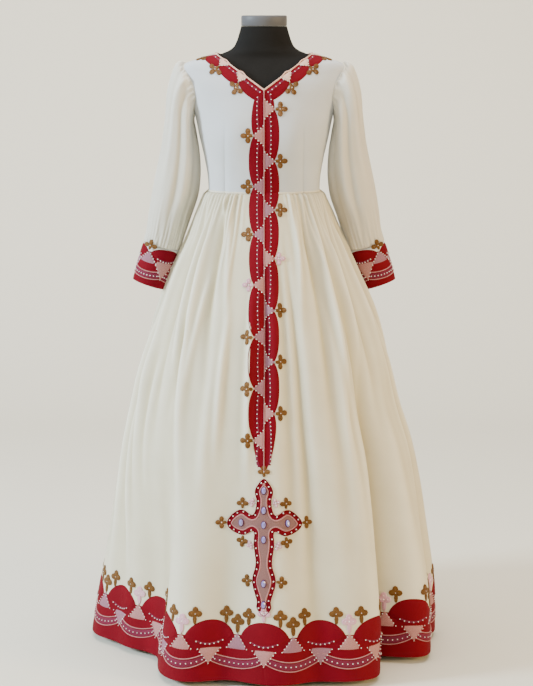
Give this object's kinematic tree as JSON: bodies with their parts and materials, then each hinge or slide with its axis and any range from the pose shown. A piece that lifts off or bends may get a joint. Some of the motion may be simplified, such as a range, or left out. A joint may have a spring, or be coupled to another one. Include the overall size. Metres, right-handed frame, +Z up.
{
  "type": "habesha kemis dress on a limbless dress form",
  "caption": "Long white cotton dress with bishop sleeves, a V neck, embroidered red and mauve bands and a large cross, worn by a limbless form on a stand.",
  "frame": {"origin": "centre of the underside of the stand's round foot, on the floor", "axes": "+Z up along the pole, the dress faces -Y, the wearer's left is +X"},
  "size_m": [0.8913, 0.8898, 1.583],
  "materials": {
    "cotton": "woven",
    "gauze": "open weave",
    "band": "embroidered and beaded",
    "jersey": "knitted cover",
    "cap": "satin",
    "steel": "satin"
  },
  "bodies": {
    "root": {"bodice_front": "cotton", "bodice_back_left": "cotton", "bodice_back_right": "cotton", "skirt_front": "cotton", "skirt_back": "cotton", "sleeve_left": "gauze", "sleeve_right": "gauze", "cuff_left": "band", "cuff_right": "band", "neck_band_left": "band", "neck_band_right": "band", "neck_band_back_left": "band", "neck_band_back_right": "band", "centre_band": "band", "cross": "band", "hem_band_front": "band", "hem_band_back": "band", "form_body": "jersey", "form_cap": "cap", "form_pole": "steel", "form_base": "steel"}
  },
  "joints": []
}
